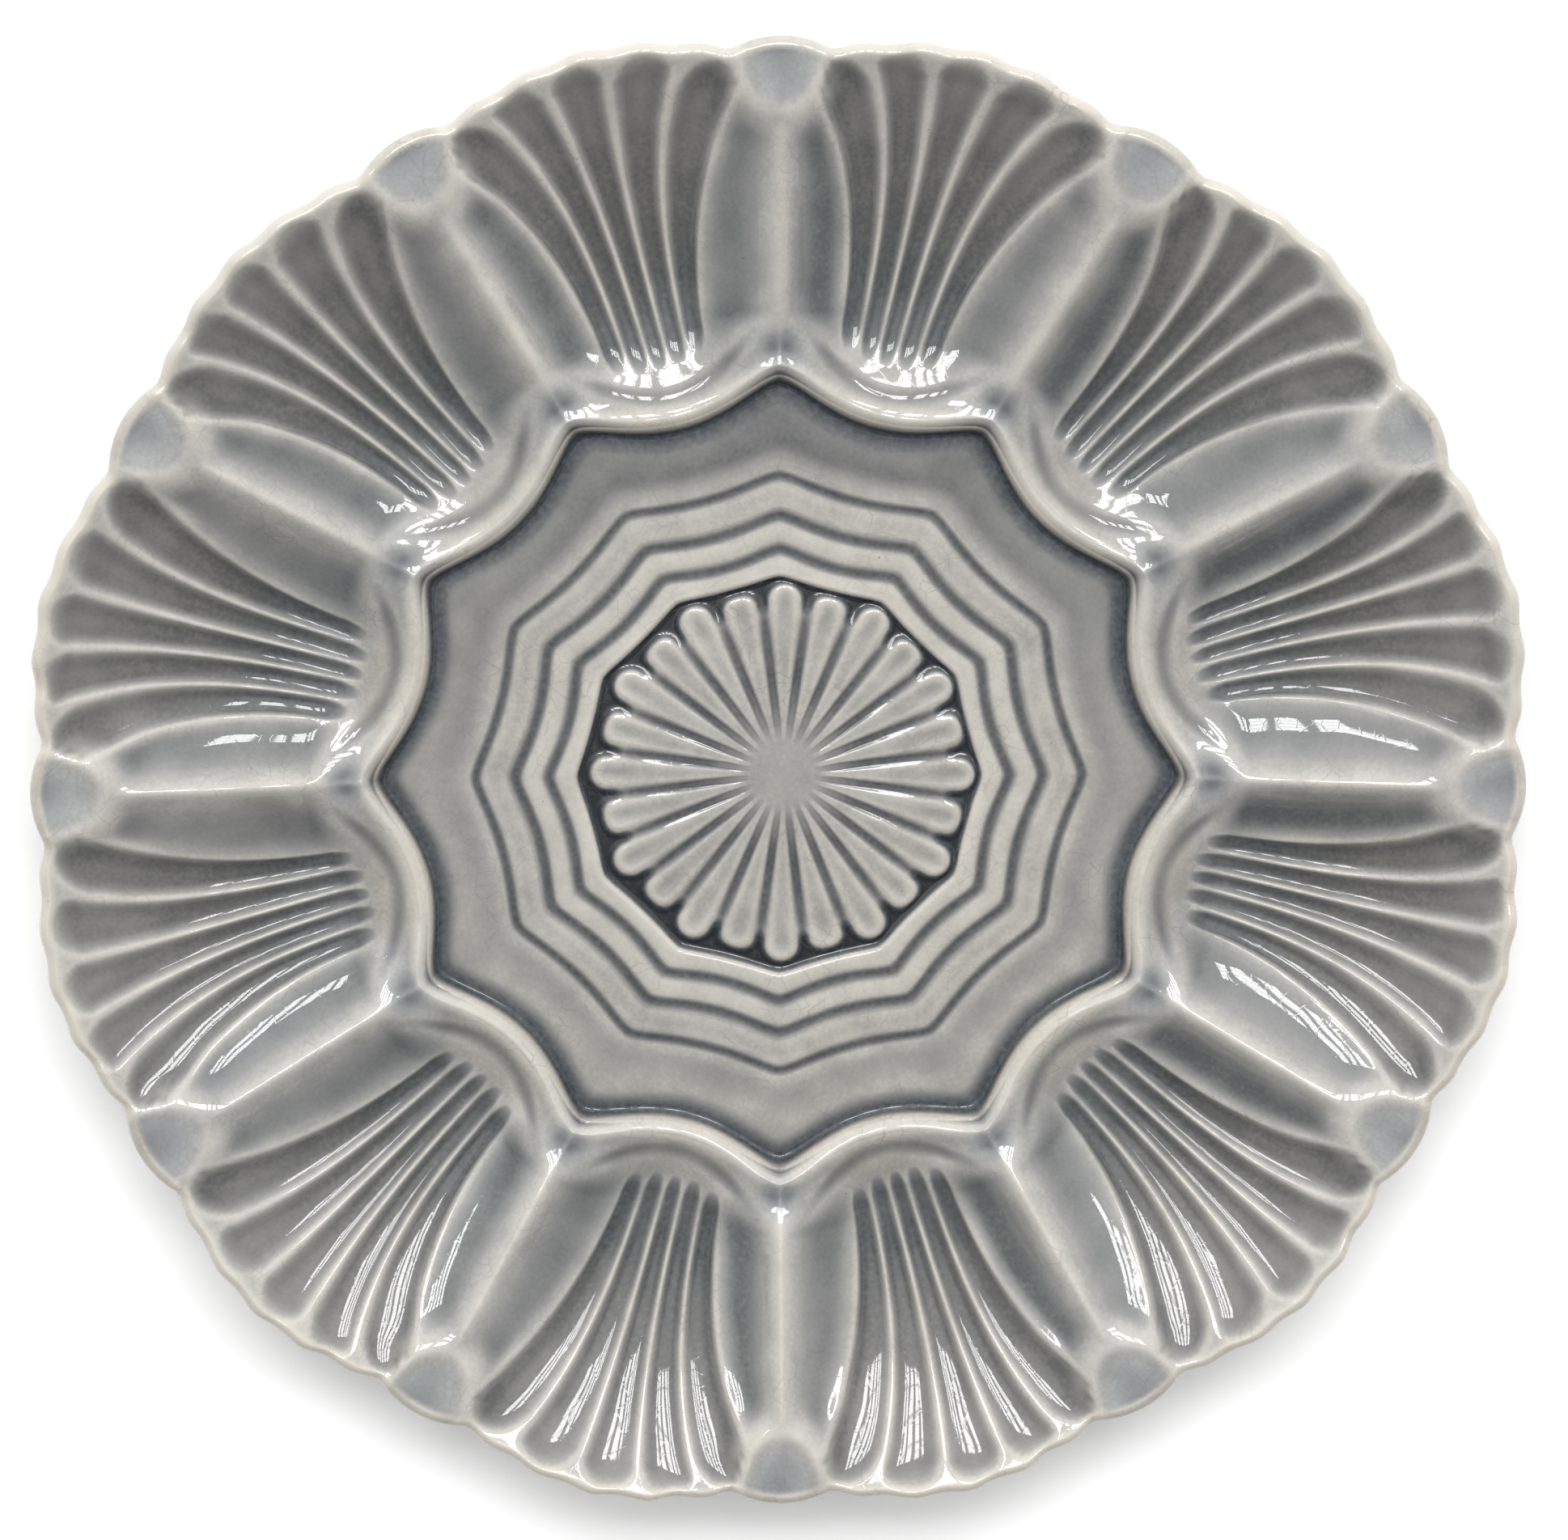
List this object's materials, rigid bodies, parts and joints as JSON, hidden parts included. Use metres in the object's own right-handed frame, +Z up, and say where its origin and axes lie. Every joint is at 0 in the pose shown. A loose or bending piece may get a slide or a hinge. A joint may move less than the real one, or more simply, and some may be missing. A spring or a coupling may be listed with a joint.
{
  "type": "oyster serving dish",
  "caption": "Round glazed earthenware serving dish with fluted scallop-shell wells around a sunken star-shaped floor, on a foot ring.",
  "frame": {"origin": "on the dish's axis, at the level of the surface that the foot ring stands on", "axes": "+Z up along the dish's axis, +Y through one of the rim lugs"},
  "size_m": [0.3682, 0.3682, 0.0355],
  "materials": {
    "earthenware": "biscuit-fired, under glaze",
    "bare_earthenware": "bare, wiped clean before firing",
    "grey_glaze": "glossy blue-grey, crackled, pooled dark in the hollows and thin on the edges"
  },
  "bodies": {
    "root": {"dish_body": "earthenware", "foot_ring": "bare_earthenware", "glaze_coat": "grey_glaze", "foot_glaze": "grey_glaze"}
  },
  "joints": []
}
